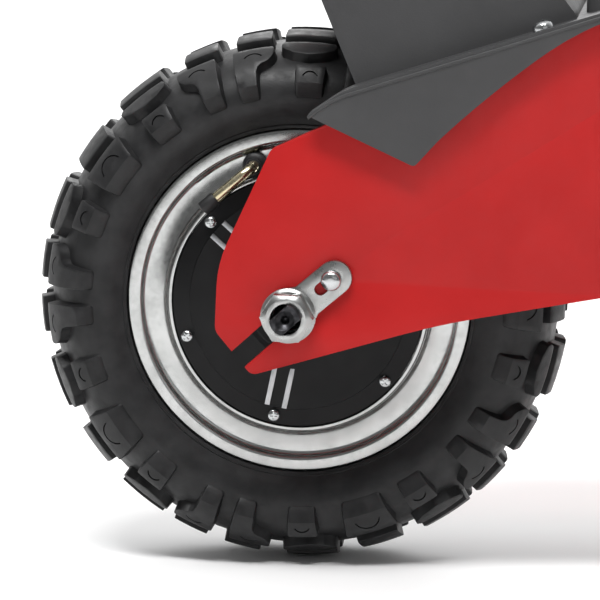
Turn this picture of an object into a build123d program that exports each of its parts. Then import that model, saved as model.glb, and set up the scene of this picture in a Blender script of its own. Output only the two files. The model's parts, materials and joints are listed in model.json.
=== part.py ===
from build123d import *
import math
import os

# Off-road electric kick scooter.
# Frame: +X forward, +Y left, +Z up, millimetres.
# Origin: on the ground, half way between the two axles.

# ---------------------------------------------------------------- driving sizes
WHEELBASE = 900.0
TYRE_R = 141.0
TREAD_DEPTH = 6.5
TREAD_PITCHES = 25
GROOVE = 13.0
BEAD_R = 82.5
RIM_R = 91.0
RIM_HALF = 33.0
DRUM_HALF = 36.0
COVER_R = 66.5
COVER_SCREW_R = 61.8
COVER_SCREWS = 6
AXLE_R = 8.0
AXLE_FLATS = 10.0
BEARING_R = 17.5
RUN = 0.05
VALVE_ANGLE = 108.0
VALVE_HOLE_R = 5.5
VALVE_STEM_R = 3.0

PLATE_IN = 74.0
PLATE_T = 6.0
PLATE_OUT = PLATE_IN + PLATE_T
WASHER_T = 3.0
NUT_T = 13.0
NUT_AF = 24.0
SLOT_W = 10.5
SLOT_ANGLE = -138.0
TAB_ANGLE = 40.0
TAB_REACH = 31.0
TAB_SCREW = 29.0

DECK_Z = 270.0
DECK_T = 10.0
DECK_HALF = 105.0
PAD_T = 2.0
CLEARANCE_Z = 154.0

HEAD_TILT = 15.0
STEER_X = -25.0
LEG_Y = 80.0
LEG_R = 20.0
STANCHION_R = 14.0
FRONT_AXLE_R = 6.0
CROWN_Z = (205.0, 235.0)
HEAD_Z = (243.0, 363.0)
NECK_Z = 318.0
STEERER_R = 15.0
FOLD_X = -60.0
FOLD_Z = 410.0
BAR_Z = 985.0
BAR_R = 11.1
BAR_HALF = 298.0
GRIP_R = 16.5
KICK_X = 30.0
KICK_Z = 172.0

REAR = Pos(-WHEELBASE / 2, 0, TYRE_R)
FRONT = Pos(WHEELBASE / 2, 0, TYRE_R) * Rot(0, -HEAD_TILT, 0)
BOTH = (-1, 1)


# ---------------------------------------------------------------- helpers
def box(x, y, z):
    """Block between two limits on each axis."""
    centre = Pos(sum(x) / 2, sum(y) / 2, sum(z) / 2)
    return centre * Box(x[1] - x[0], y[1] - y[0], z[1] - z[0])


def rod_y(radius, y, x=0.0, z=0.0):
    return Pos(x, sum(y) / 2, z) * Rot(90, 0, 0) * Cylinder(radius, y[1] - y[0])


def rod_x(radius, x, y=0.0, z=0.0):
    return Pos(sum(x) / 2, y, z) * Rot(0, 90, 0) * Cylinder(radius, x[1] - x[0])


def rod_z(radius, z, x=0.0, y=0.0):
    return Pos(x, y, sum(z) / 2) * Cylinder(radius, z[1] - z[0])


def spun(profile):
    """Turned part about the Y axis from (y, radius) points."""
    corners = [(0, y, r) for y, r in profile]
    return revolve(Face(Wire.make_polygon(corners, close=True)), axis=Axis.Y)


def both_halves(half):
    """Complete a (y, radius) profile that starts and ends on the mid-plane."""
    return half + [(-y, r) for y, r in reversed(half[1:-1])]


def outline(corners):
    """Face in the XZ plane from (x, z, corner radius) points."""
    edges = []
    ends = []
    count = len(corners)
    for i, (x, z, radius) in enumerate(corners):
        here = Vector(x, 0, z)
        back = (Vector(corners[i - 1][0], 0, corners[i - 1][1]) - here).normalized()
        ahead = corners[(i + 1) % count]
        on = (Vector(ahead[0], 0, ahead[1]) - here).normalized()
        half = math.acos(max(-1.0, min(1.0, back.dot(on)))) / 2
        reach = radius / math.tan(half)
        middle = (back + on).normalized() * (radius / math.sin(half) - radius)
        ends.append((here + back * reach, here + middle, here + on * reach))
    for i, (start, middle, end) in enumerate(ends):
        edges.append(Edge.make_line(ends[i - 1][2], start))
        edges.append(Edge.make_three_point_arc(start, middle, end))
    return Face(Wire(edges))


def slab(corners, y):
    """Plate parallel to the XZ plane between two Y limits."""
    return Pos(0, y[0], 0) * extrude(outline(corners), y[1] - y[0], dir=(0, 1, 0))


def mirrored(shape):
    return shape.mirror(Plane.XZ)


def pair(shape):
    return [shape, mirrored(shape)]


def hexagon(across_flats, y, x=0.0, z=0.0):
    radius = across_flats / math.sqrt(3)
    prism = extrude(RegularPolygon(radius, 6), y[1] - y[0])
    return Pos(x, y[1], z) * Rot(90, 0, 0) * prism


def save(name, *shapes):
    solids = [solid for shape in shapes for solid in shape.solids()]
    whole = solids[0] if len(solids) == 1 else Compound(solids)
    export_step(whole, f"parts/{name}.step")


def polar(radius, degrees):
    """Point (x, z) at a radius and an angle from +X towards +Z."""
    turn = math.radians(degrees)
    return radius * math.cos(turn), radius * math.sin(turn)


# ---------------------------------------------------------------- wheels
def tyre():
    """Knobby tyre: round section, blocks parted by grooves right across the tread."""
    half = [
        (0, 128), (25, 126), (36, 115), (37, 105), (26, 92), (20, 84), (20, BEAD_R),
        (28, BEAD_R), (28, 89), (29.5, RIM_R), (33.2, 91.3), (38, 96.5), (40.8, 104), (41.6, 109),
        (43.8, 116.3), (41, 121), (36.5, 126.4), (31, 131.2), (24, 135.9), (16, 139.2), (8, TYRE_R),
        (0, TYRE_R),
    ]
    body = spun(both_halves(half))
    pitch = 360 / TREAD_PITCHES
    floor = TYRE_R - TREAD_DEPTH
    across = box((-GROOVE / 2, GROOVE / 2), (-22, 22), (floor, TYRE_R + 5))
    slope = box((-GROOVE / 2, GROOVE / 2), (-4, 34), (-2.5, 8))
    shoulder = Pos(0, 20, TYRE_R - 3) * Rot(-42, 0, 0) * slope
    grooves = across + pair(shoulder)
    return body - [Rot(0, i * pitch, 0) * grooves for i in range(TREAD_PITCHES)]


RIM_OUTSIDE = [
    (29, 77), (29, 82), (31, 83.2), (RIM_HALF, 84.5), (RIM_HALF, 90), (32, RIM_R),
    (29.5, RIM_R), (28, 89), (28, BEAD_R), (15, BEAD_R), (13, 80), (0, 80),
]


def rear_rim():
    """One-piece rim and motor drum, with a hole for the valve stem."""
    inside = [(0, 64), (28, 64), (28, COVER_R), (DRUM_HALF, COVER_R), (DRUM_HALF, 68), (31, 76)]
    drum = spun(both_halves(inside + RIM_OUTSIDE))
    x, z = polar(75, VALVE_ANGLE)
    return drum - rod_y(VALVE_HOLE_R, (-40, -20), x, z)


def valve_stem():
    """Rubber-based stem standing out of the rim and bent over towards its cap."""
    x0, z0 = polar(75, VALVE_ANGLE)
    x1, z1 = polar(69.5, 127)
    path = FilletPolyline((x0, -24, z0), (x0, -45, z0), (x1, -47, z1), radius=8)
    stem = sweep(Plane(path @ 0, z_dir=path % 0) * Circle(VALVE_STEM_R), path=path)
    base = rod_y(VALVE_HOLE_R, (-32.5, -22.5), x0, z0)
    return stem + base, path


def valve_cap(path):
    end, way = path @ 1, path % 1
    return Plane(end, z_dir=way) * Pos(0, 0, 4.5) * Cylinder(4, 9)


def motor_cover():
    """Side cover with a raised bearing boss and plain holes for its screws."""
    disc = spun([
        (28, BEARING_R), (28, COVER_R), (34.5, COVER_R), (DRUM_HALF, 65), (DRUM_HALF, 58),
        (37.5, 30), (41, 26), (42, 25), (42, BEARING_R),
    ])
    holes = []
    for angle in screw_angles():
        x, z = polar(COVER_SCREW_R, angle)
        holes.append(rod_y(2, (20, 45), x, z))
    return disc - holes


def screw_angles():
    return [18 + 360 / COVER_SCREWS * i for i in range(COVER_SCREWS)]


def cover_screws():
    solids = []
    for angle in screw_angles():
        x, z = polar(COVER_SCREW_R, angle)
        solids += pair(rod_y(2, (28.2, DRUM_HALF), x, z) + rod_y(3.3, (DRUM_HALF, 38.4), x, z))
    return solids


def rear_axle():
    """Fixed motor axle: round in the bearings, flats in the dropouts, two spacer collars."""
    end = PLATE_OUT + WASHER_T + NUT_T + 4
    bar = rod_y(AXLE_R, (-end, end))
    flats = []
    for side in BOTH:
        start, stop = sorted((side * 66, side * (end + 1)))
        for edge in BOTH:
            keep = AXLE_FLATS / 2
            cut = box((-12, 12), (start, stop), sorted((edge * keep, edge * 12)))
            flats.append(Rot(0, -SLOT_ANGLE, 0) * cut)
    bar -= flats
    collar = spun([(46, 7), (46, 12), (PLATE_IN, 12), (PLATE_IN, 7)])
    return bar + pair(collar)


def torque_washer():
    """Tab washer: ring round the axle, slotted arm reaching to its own screw."""
    y = (-PLATE_OUT - WASHER_T, -PLATE_OUT)
    ring = rod_y(14.2, y)
    arm = box((0, TAB_REACH), y, (-9, 9)) + rod_y(9, y, TAB_REACH)
    slot = box((TAB_REACH - 6, TAB_REACH + 1), (y[0] - 1, y[1] + 1), (-3, 3))
    slot += rod_y(3, (y[0] - 1, y[1] + 1), TAB_REACH - 6)
    slot += rod_y(3, (y[0] - 1, y[1] + 1), TAB_REACH + 1)
    tab = Rot(0, -TAB_ANGLE, 0) * (ring + arm - slot)
    return tab - rod_y(AXLE_R, (y[0] - 1, y[1] + 1))


def torque_screw():
    x, z = polar(TAB_SCREW, TAB_ANGLE)
    head_y = -PLATE_OUT - WASHER_T
    return rod_y(5.4, (head_y - 3.5, head_y), x, z) + rod_y(2.5, (head_y, -PLATE_IN + 3), x, z)


def axle_nut():
    y = (-PLATE_OUT - WASHER_T - NUT_T, -PLATE_OUT - WASHER_T)
    nut = Rot(0, 12, 0) * hexagon(NUT_AF, y)
    return nut - rod_y(AXLE_R, (y[0] - 1, y[1] + 1))


def rear_wheel():
    stem, path = valve_stem()
    cover = motor_cover()
    bearing = spun([(29, AXLE_R + RUN), (29, BEARING_R), (40, BEARING_R), (40, AXLE_R + RUN)])
    save("rear_tyre", REAR * tyre())
    save("rear_rim", REAR * rear_rim())
    save("motor_covers", *[REAR * c for c in pair(cover)])
    save("motor_cover_screws", *[REAR * s for s in cover_screws()])
    save("motor_bearings", *[REAR * b for b in pair(bearing)])
    save("motor_magnets", REAR * spun([(-22, 62.3), (-22, 64), (22, 64), (22, 62.3)]))
    save("rear_valve_stem", REAR * stem)
    save("rear_valve_cap", REAR * valve_cap(path))


def stator():
    """Laminated stator with winding slots, pressed on the axle."""
    core = spun([(-19, AXLE_R), (-19, 61.5), (19, 61.5), (19, AXLE_R)])
    slots = []
    for i in range(18):
        slots.append(Rot(0, i * 20, 0) * box((44, 58), (-20, 20), (-4, 4)))
    return core - slots


def axle_stack():
    save("rear_axle", REAR * rear_axle())
    save("motor_stator", REAR * stator())
    save("torque_washers", *[REAR * w for w in pair(torque_washer())])
    save("torque_screws", *[REAR * s for s in pair(torque_screw())])
    save("rear_axle_nuts", *[REAR * n for n in pair(axle_nut())])


def front_wheel():
    """Cast front wheel with a drilled web, two bearings and a brake disc on the left."""
    rim = spun(both_halves([(0, 76), (29, 76)] + RIM_OUTSIDE))
    web = spun([(-6, 18), (-6, 78), (6, 78), (6, 18)])
    for i in range(6):
        x, z = polar(48, 30 + 60 * i)
        web -= rod_y(14, (-10, 10), x, z)
    hub = spun([(-50, 16), (-50, 22), (44, 22), (46, 32), (55, 32), (55, 16)])
    bearing = [(-50, FRONT_AXLE_R + RUN), (-50, 16), (-40, 16), (-40, FRONT_AXLE_R + RUN)]
    other = [(y + 95, r) for y, r in bearing]
    disc = spun([(55, 16.5), (55, 70), (57, 70), (57, 16.5)])
    bolts = []
    for i in range(6):
        x, z = polar(40, 60 * i)
        disc -= rod_y(8, (50, 60), x, z)
        x, z = polar(26, 30 + 60 * i)
        bolts.append(rod_y(3.5, (57, 58.8), x, z))
    save("front_tyre", FRONT * tyre())
    save("front_rim", FRONT * (rim + web + hub))
    save("front_bearings", FRONT * spun(bearing), FRONT * spun(other))
    save("front_brake_disc", FRONT * disc, *[FRONT * bolt for bolt in bolts])


# ---------------------------------------------------------------- chassis
PLATE_BOTTOM = CLEARANCE_Z + 1.8 - TYRE_R
PLATE_OUTLINE = [
    (-9.2, 85.4, 6), (-37, 25.8, 60), (-38.5, -9, 8), (-19.5, -32, 5),
    (77.7, -3.9, 400), (180, PLATE_BOTTOM, 200), (645, PLATE_BOTTOM, 45),
    (702, 120, 40), (694, 208, 12), (672, 208, 12), (640, DECK_Z - TYRE_R, 40),
    (234, DECK_Z - TYRE_R, 30), (188, 161.4, 22), (124.8, 142.3, 150), (25, 101.2, 150),
]
BARS = [(-262, 262), (-180, 260), (0, 260), (140, 260), (-205, 165), (182, 165)]
DECK_SCREW_Y = 48.0
BAR_HALF_SIDE = 10.0


def side_plate():
    """Right side plate: dropout slot, tab-screw hole, cross-bar bolt holes."""
    plate = slab(PLATE_OUTLINE, (-PLATE_OUT, -PLATE_IN))
    slot = box((0, 60), (-90, -60), (-SLOT_W / 2, SLOT_W / 2)) + rod_y(AXLE_R + 0.2, (-90, -60))
    plate -= Rot(0, -SLOT_ANGLE, 0) * slot
    x, z = polar(TAB_SCREW, TAB_ANGLE)
    plate -= rod_y(2.5, (-90, -60), x, z)
    plate = REAR * plate
    for x, z in BARS:
        plate -= rod_y(4, (-90, -60), x, z)
    edge_x, edge_z, edge_y = mudguard_screw_places()[0]
    return plate - REAR * rod_z(2.5, (edge_z - 9, edge_z), edge_x, edge_y)


def cross_bars():
    bars = []
    for x, z in BARS:
        side = BAR_HALF_SIDE
        bar = box((x - side, x + side), (-PLATE_IN, PLATE_IN), (z - side, z + side))
        for y in BOTH:
            bar -= rod_y(4, sorted((y * 60, y * 80)), x, z)
            bar -= rod_z(2.5, (z + 2, z + 20), x, y * DECK_SCREW_Y)
        bars.append(bar)
    return bars


def frame_bolts():
    bolts = []
    for x, z in BARS:
        head = rod_y(7, (-PLATE_OUT - 4.5, -PLATE_OUT), x, z)
        head -= hexagon(5, (-PLATE_OUT - 6, -PLATE_OUT - 2), x, z)
        bolts += pair(head + rod_y(4, (-PLATE_OUT, -60), x, z))
    return bolts


def neck():
    """Box-section beam from the front cross bar up to the head tube, with a base flange."""
    tube = rod_z(23, HEAD_Z, STEER_X)
    bore = rod_z(18.5, (HEAD_Z[0] - 1, HEAD_Z[1] + 1), STEER_X)
    start = Vector(186, 0, 222)
    along = (FRONT * Pos(STEER_X, 0, NECK_Z)).position - start
    plane = Plane(start, x_dir=(0, 1, 0), z_dir=along)
    beam = extrude(plane * Rectangle(60, 44), along.length)
    hollow = extrude(plane * Rectangle(54, 38), along.length)
    flange = box((150, 216), (-PLATE_IN, PLATE_IN), (196, 202))
    post = box((166, 206), (-30, 30), (202, 236))
    front_bore = FRONT * bore
    cheeks = [box((150, 216), sorted((y * 68, y * PLATE_IN)), (180, 236)) for y in BOTH]
    frame = (FRONT * tube) + (beam - hollow) + post + flange + cheeks
    return frame - front_bore


def headset():
    """Two bearings with flanges outside the head tube."""
    low, high = HEAD_Z
    inner = STEERER_R + RUN
    lower = rod_z(18.5, (low, low + 12), STEER_X) + rod_z(23, (low - 6.5, low), STEER_X)
    upper = rod_z(18.5, (high - 12, high), STEER_X) + rod_z(23, (high, high + 6.5), STEER_X)
    bore = rod_z(inner, (low - 20, high + 20), STEER_X)
    return [lower - bore, upper - bore]


def deck():
    board = box((-200, 160), (-DECK_HALF, DECK_HALF), (DECK_Z, DECK_Z + DECK_T))
    board = fillet(board.edges().filter_by(Axis.Z), 18)
    pad = box((-193, 153), (-DECK_HALF + 8, DECK_HALF - 8), (DECK_Z + DECK_T, DECK_Z + DECK_T + PAD_T))
    pad = fillet(pad.edges().filter_by(Axis.Z), 12)
    screws = []
    for x, z in BARS[1:4]:
        for y in (-DECK_SCREW_Y, DECK_SCREW_Y):
            board -= rod_z(2.5, (DECK_Z - 1, DECK_Z + DECK_T + 1), x, y)
            pad -= rod_z(6, (DECK_Z, DECK_Z + 20), x, y)
            head = rod_z(5, (DECK_Z + DECK_T, DECK_Z + DECK_T + 2.5), x, y)
            screws.append(head + rod_z(2.5, (DECK_Z - 8, DECK_Z + DECK_T), x, y))
    save("deck_board", board)
    save("grip_pad", pad)
    save("deck_screws", *screws)


def electrics():
    """Pan, battery and controller that sit between the side plates."""
    half = PLATE_IN - 0.3
    pan = box((-194, 171), (-half, half), (CLEARANCE_Z, CLEARANCE_Z + 20))
    pan -= box((-191, 168), (-half + 3, half - 3), (CLEARANCE_Z + 3, CLEARANCE_Z + 30))
    battery = box((-165, 90), (-62, 62), (CLEARANCE_Z + 3, 247))
    battery = fillet(battery.edges().filter_by(Axis.Z), 8)
    body = box((100, 148), (-50, 50), (CLEARANCE_Z + 3, 185))
    fins = [box((102 + 8 * i, 105 + 8 * i), (-50, 50), (185, 193)) for i in range(6)]
    port = rod_y(12, (PLATE_OUT, PLATE_OUT + 5), 120, 215) + rod_y(9, (60, PLATE_OUT), 120, 215)
    port -= rod_y(4, (70, 90), 120, 215)
    lock = rod_y(11, (-PLATE_OUT - 5, -PLATE_OUT), 120, 215)
    lock += rod_y(9, (-PLATE_OUT, -62), 120, 215)
    lock -= rod_y(6.3, (-90, -72), 120, 215)
    barrel = rod_y(6.2, (-PLATE_OUT - 7, -73), 120, 215)
    barrel -= box((119, 121), (-90, -80), (211, 219))
    save("belly_pan", pan)
    save("battery_pack", battery)
    save("motor_controller", body + fins)
    save("charge_port", port)
    save("key_switch", lock)
    save("key_barrel", barrel)


SKIRT = [
    (9.9, 103.9, 2), (64.9, 78.2, 3), (115.9, 127.6, 350), (196, 167.3, 0.3), (196, 169, 0.3),
    (29, 117, 40),
]
TAIL = [
    (10, 104, 0.5), (29, 117, 60), (199, 169, 8), (247.5, 136.5, 0.5), (246, 134, 0.5),
    (198.6, 165.6, 6), (30, 113.6, 60), (14, 102.5, 0.5),
]
HUMP = [(34, 116, 1), (150, 149, 6), (120, 188, 30), (2, 194, 4)]
SHEET = 3.0
SKIRT_OUT = 88.0
TAIL_SLOPE = math.degrees(math.atan2(169 - 117, 199 - 29))
BOSS_H = 5.0


def rear_mudguard():
    """Moulded mudguard: sloping tail, raised hump over the wheel, skirts outside the plates."""
    skirts = pair(slab(SKIRT, (-SKIRT_OUT, -SKIRT_OUT + SHEET)))
    ledge = slab(TAIL, (-SKIRT_OUT + 1, SKIRT_OUT - 1))
    hump = slab(HUMP, (-69, 69))
    hollow = slab([(-20, 60, 1), (147, 60, 1), (147, 148, 4), (118, 185, 28), (-20, 191, 1)], (-66, 66))
    whole = (ledge + hump - hollow) + skirts
    for x, z, y in mudguard_screw_places()[1::2]:
        whole += rod_z(8, (z - BOSS_H - 2, z), x, y) - hollow
    for x, z, y in mudguard_screw_places():
        whole -= rod_z(2.5, (z - 20, z + 20), x, y)
    return REAR * whole


def tail_top(x):
    """Height of the tail's upper face at a distance ahead of the axle."""
    return 117 + (x - 29) * math.tan(math.radians(TAIL_SLOPE))


def mudguard_screw_places():
    """Outer pair into the plates' top edges, inner pair on bosses ahead of the hump."""
    places = []
    for side in BOTH:
        places.append((129.6, tail_top(129.6), side * 77))
        places.append((158, tail_top(158) + BOSS_H, side * 48))
    return places


def mudguard_screws():
    screws = []
    for i, (x, z, y) in enumerate(mudguard_screw_places()):
        tilt = TAIL_SLOPE if i % 2 == 0 else 0
        place = Pos(x, y, z) * Rot(0, -tilt, 0)
        head = place * rod_z(5, (0, 3)) + rod_z(2.5, (z - 9, z + 1), x, y)
        screws.append(REAR * head)
    return screws


def kickstand():
    """Side stand: bracket on the left plate, leg with a flat foot."""
    y0 = PLATE_OUT
    bracket = box((KICK_X - 22, KICK_X + 22), (y0, y0 + 5), (KICK_Z - 16, KICK_Z + 20))
    bracket -= rod_y(5, (y0 - 1, y0 + 6), KICK_X, KICK_Z)
    bolt = rod_y(5, (PLATE_OUT, y0 + 19), KICK_X, KICK_Z)
    bolt += hexagon(17, (y0 + 19, y0 + 26), KICK_X, KICK_Z)
    boss = rod_y(13, (y0 + 5.3, y0 + 18.7), KICK_X, KICK_Z)
    top = Vector(KICK_X, y0 + 12, KICK_Z)
    foot = Vector(KICK_X + 24, y0 + 72, 6)
    leg = extrude(Plane(top, z_dir=foot - top) * Circle(7), (foot - top).length)
    sole = Pos(foot.X, foot.Y + 6, 4.2) * Box(34, 40, 8)
    sole = fillet(sole.edges().filter_by(Axis.Z), 8)
    leg = boss + leg + sole
    leg -= box((-100, 100), (y0 - 10, y0 + 5.3), (0, 300))
    leg -= rod_y(12, (y0 + 18.7, y0 + 30), KICK_X, KICK_Z)
    leg -= box((-100, 100), (0, 300), (-20, 0.2))
    leg -= rod_y(5 + RUN, (y0, y0 + 40), KICK_X, KICK_Z)
    save("kickstand_bracket", bracket)
    save("kickstand_bolt", bolt)
    save("kickstand", leg)


def chassis():
    plate = side_plate()
    lamp = box((-8, 3), (-26, 26), (172, 188))
    save("side_plate_right", plate - rod_y(9, (-90, -60), 120, 215))
    save("side_plate_left", mirrored(plate) - rod_y(9, (60, 90), 120, 215))
    save("cross_bars", *cross_bars())
    save("frame_bolts", *frame_bolts())
    save("neck_frame", neck())
    save("headset_bearings", *[FRONT * b for b in headset()])
    save("rear_mudguard", rear_mudguard())
    save("mudguard_screws", *mudguard_screws())
    save("tail_light", REAR * fillet(lamp.edges().filter_by(Axis.Z), 3))
    deck()
    electrics()
    kickstand()


# ---------------------------------------------------------------- fork
def fork_crown():
    """Lower crown with the hollow steerer tube standing on it."""
    crown = box((-48, 18), (-LEG_Y - 20, LEG_Y + 20), CROWN_Z)
    crown = fillet(crown.edges().filter_by(Axis.Z), 18)
    steerer = rod_z(STEERER_R, (CROWN_Z[1], 397), STEER_X)
    crown = crown + steerer - rod_z(12, (200, 400), STEER_X)
    for y in (-LEG_Y, LEG_Y):
        crown -= rod_z(STANCHION_R, (200, 240), 0, y)
    return crown


def fork_lower():
    """Right fork leg with the axle hole and a blind bore for the stanchion."""
    leg = rod_z(LEG_R, (-28, 128), 0, -LEG_Y) + rod_z(LEG_R + 2.5, (128, 140), 0, -LEG_Y)
    leg -= rod_z(STANCHION_R + RUN, (12, 150), 0, -LEG_Y)
    return leg - rod_y(FRONT_AXLE_R, (-110, -50))


def front_mudguard():
    """Arched guard on two stays that run down to the fork legs."""
    arch = spun([(-50, 149), (-50, 152), (50, 152), (50, 149)])
    lips = pair(spun([(-50, 138), (-50, 152), (-48, 152), (-48, 138)]))
    guard = arch + lips
    keep = slab([(0, 0, 1), (220, 105, 1), (220, 240, 1), (-220, 240, 1), (-220, 125, 1)], (-60, 60))
    guard = guard & keep
    stays = []
    for side in BOTH:
        stay = box((-9, 9), sorted((side * 48, side * 50)), (112, 150))
        stay += box((-9, 9), sorted((side * 48, side * 66)), (108, 122))
        stays.append(stay - rod_z(LEG_R, (90, 130), 0, side * LEG_Y))
    return guard + stays


def caliper():
    """Disc caliper behind the left leg, open round the disc, with its cable inlet."""
    block = box((-84, -44), (48, 66), (-20, 20))
    block = fillet(block.edges().filter_by(Axis.Y), 6)
    block += box((-48, -10), (60, 68), (-12, 12)) + rod_z(4, (20, 27), -66, 61)
    block -= rod_y(73, (54, 58.6))
    return block - rod_z(LEG_R, (-60, 60), 0, LEG_Y)


def front_axle():
    axle = rod_y(FRONT_AXLE_R, (-112, 112))
    left = spun([(55.3, 5), (55.3, 10), (60.5, 10), (60.5, 5)])
    right = spun([(-60.5, 5), (-60.5, 10), (-50.3, 10), (-50.3, 5)])
    collars = (left + right) - [rod_z(LEG_R, (-40, 40), 0, y) for y in (-LEG_Y, LEG_Y)]
    return axle + collars


def fork():
    save("fork_crown", FRONT * fork_crown())
    tubes = [rod_z(STANCHION_R, (58, 236), 0, y) - rod_z(11, (50, 240), 0, y) for y in (-LEG_Y, LEG_Y)]
    save("fork_stanchions", *[FRONT * t for t in tubes])
    save("fork_lowers", *[FRONT * leg for leg in pair(fork_lower())])
    nut = hexagon(19, (-110, -100)) - rod_y(FRONT_AXLE_R, (-115, -95))
    nut -= rod_z(LEG_R, (-30, 30), 0, -LEG_Y)
    save("front_axle", FRONT * front_axle())
    save("front_axle_nuts", *[FRONT * n for n in pair(nut)])
    save("front_mudguard", FRONT * front_mudguard())
    save("front_caliper", FRONT * caliper())


# ---------------------------------------------------------------- folding stem
def fold_base():
    """Block clamped on the steerer with two ears for the fold pin."""
    base = box((-50, 4), (-26, 26), (370, 396))
    base = fillet(base.edges().filter_by(Axis.Z), 6)
    ear = slab([(-30, 372, 3), (-30, 422, 8), (-76, 424, 13), (-76, 398, 12), (-46, 372, 3)], (20, 26))
    base += pair(ear)
    base -= rod_z(STEERER_R, (365, 400), STEER_X)
    return base - rod_y(5, (-40, 40), FOLD_X, FOLD_Z)


def stem():
    """Stem tube with a solid hinge lug at its foot."""
    lug = rod_y(12, (-19.7, 19.7), FOLD_X, FOLD_Z)
    lug += box((FOLD_X, 2), (-19.7, 19.7), (398.2, 424))
    lug += box((-72, 2), (-19.7, 19.7), (410, 424))
    neck_ring = rod_z(26, (424, 436), STEER_X)
    tube = rod_z(19, (424, 965), STEER_X)
    bore = rod_z(16.5, (440, 966), STEER_X)
    return lug + neck_ring + tube - bore - rod_y(5 + RUN, (-40, 40), FOLD_X, FOLD_Z)


def fold_pin():
    pin = rod_y(5, (-30, 34), FOLD_X, FOLD_Z) + hexagon(16, (26, 33), FOLD_X, FOLD_Z)
    ring = rod_y(9, (-33, -26), FOLD_X, FOLD_Z)
    return pin + ring - box((-80, -40), (-50, -33), (380, 430))


def fold_lever():
    """Cam lever at the pin's right end; it swings outwards to free the fold."""
    cam = rod_x(7, (FOLD_X - 6, FOLD_X + 6), -40.3, FOLD_Z)
    arm = box((FOLD_X - 5, FOLD_X + 5), (-45, -39), (FOLD_Z - 72, FOLD_Z))
    return cam + arm


def bar_clamp():
    """Split clamp: seat on the stem, cap, and four bolts."""
    seat = box((-50, 0), (-30, 30), (965, BAR_Z - 0.2))
    cap = box((-50, 0), (-30, 30), (BAR_Z + 0.2, 1004))
    bolts = []
    bar = rod_y(BAR_R, (-40, 40), STEER_X, BAR_Z)
    seat -= bar
    cap -= bar
    for x in (-44, -6):
        for y in (-23, 23):
            shank = rod_z(2.5, (972, 1004), x, y)
            seat -= shank
            cap -= shank
            bolts.append(shank + rod_z(4.5, (1004, 1008), x, y))
    return [seat, cap] + bolts


def headlight():
    band = rod_z(24, (880, 904), STEER_X) - rod_z(19, (870, 910), STEER_X)
    arm = box((-4, 14), (-7, 7), (884, 900)) - rod_z(19, (870, 910), STEER_X)
    shell = rod_x(30, (12, 52), 0, 900)
    shell = fillet(shell.edges().filter_by(GeomType.CIRCLE), 5)
    return band + arm + shell


def perch(side):
    """Bar clamp and pivot fork that carry one brake lever."""
    y = (134, 156)
    ring = rod_y(17, y, STEER_X, BAR_Z) + box((-20, 18), (138, 152), (BAR_Z - 9, BAR_Z + 9))
    ring += rod_z(9, (BAR_Z - 9, BAR_Z + 9), 14, 145)
    ring -= box((0, 40), (120, 170), (BAR_Z - 4.3, BAR_Z + 4.3))
    ring -= rod_y(BAR_R, (100, 180), STEER_X, BAR_Z)
    ring += rod_z(3, (BAR_Z - 9, BAR_Z + 9), 14, 145)
    ring += rod_x(3.5, (16, 26), 140, BAR_Z + 6) & box((0, 40), (100, 180), (BAR_Z + 4.3, BAR_Z + 20))
    return ring if side > 0 else mirrored(ring)


def brake_lever(side):
    """Blade lever on the perch pin, bent out towards the bar end."""
    z = (BAR_Z - 4, BAR_Z + 4)
    boss = rod_z(8, z, 14, 145)
    path = FilletPolyline((14, 148, BAR_Z), (26, 178, BAR_Z), (22, 262, BAR_Z), radius=25)
    blade = sweep(Plane(path @ 0, x_dir=(0, 0, 1), z_dir=path % 0) * RectangleRounded(7.6, 11, 3), path=path)
    ball = Pos(22, 264, BAR_Z) * Sphere(7)
    lever = boss + blade + ball - rod_z(3 + RUN, (900, 1100), 14, 145)
    return lever if side > 0 else mirrored(lever)


def controls():
    """Housings on the bar, thumb throttle on the right, horn button on the left."""
    bar = rod_y(BAR_R, (-200, 200), STEER_X, BAR_Z)
    right = rod_y(19, (-128, -106), STEER_X, BAR_Z)
    left = rod_y(19, (106, 128), STEER_X, BAR_Z) + box((-49, -25), (109, 125), (BAR_Z - 9, BAR_Z + 9))
    left -= rod_x(6.3, (-60, -42), 117, BAR_Z)
    save("control_housings", FRONT * (right - bar), FRONT * (left - bar))
    paddle = rod_y(18, (-105.5, -93), STEER_X, BAR_Z)
    paddle += box((-58, -34), (-105.5, -86), (BAR_Z - 20, BAR_Z - 12))
    paddle += box((-44, -28), (-105.5, -93), (BAR_Z - 20, BAR_Z - 8))
    paddle -= rod_y(BAR_R + RUN, (-200, 0), STEER_X, BAR_Z)
    save("throttle_lever", FRONT * paddle)
    save("horn_button", FRONT * rod_x(6, (-52, -45), 117, BAR_Z))


def cockpit():
    bar = rod_y(BAR_R, (-BAR_HALF, BAR_HALF), STEER_X, BAR_Z)
    hollow = rod_y(BAR_R - 2.5, (-BAR_HALF - 1, BAR_HALF + 1), STEER_X, BAR_Z)
    grip = rod_y(GRIP_R, (170, BAR_HALF + 2), STEER_X, BAR_Z)
    grip = fillet(grip.edges().filter_by(GeomType.CIRCLE), 3)
    grip -= rod_y(BAR_R, (160, BAR_HALF), STEER_X, BAR_Z)
    screen = box((-62, -4), (-38, 38), (1008, 1026))
    screen = fillet(screen.edges().filter_by(Axis.Z), 8)
    save("stem_tube", FRONT * stem())
    save("handlebar_clamp", *[FRONT * s for s in bar_clamp()])
    save("handlebar", FRONT * (bar - hollow))
    save("grips", *[FRONT * g for g in pair(grip)])
    save("display", FRONT * screen)
    save("headlight", FRONT * headlight())
    save("brake_perches", FRONT * perch(-1), FRONT * perch(1))
    save("brake_lever_right", FRONT * brake_lever(-1))
    save("brake_lever_left", FRONT * brake_lever(1))
    controls()


def folding_joint():
    save("fold_base", FRONT * fold_base())
    save("fold_pin", FRONT * fold_pin())
    save("fold_lever", FRONT * fold_lever())


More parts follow.
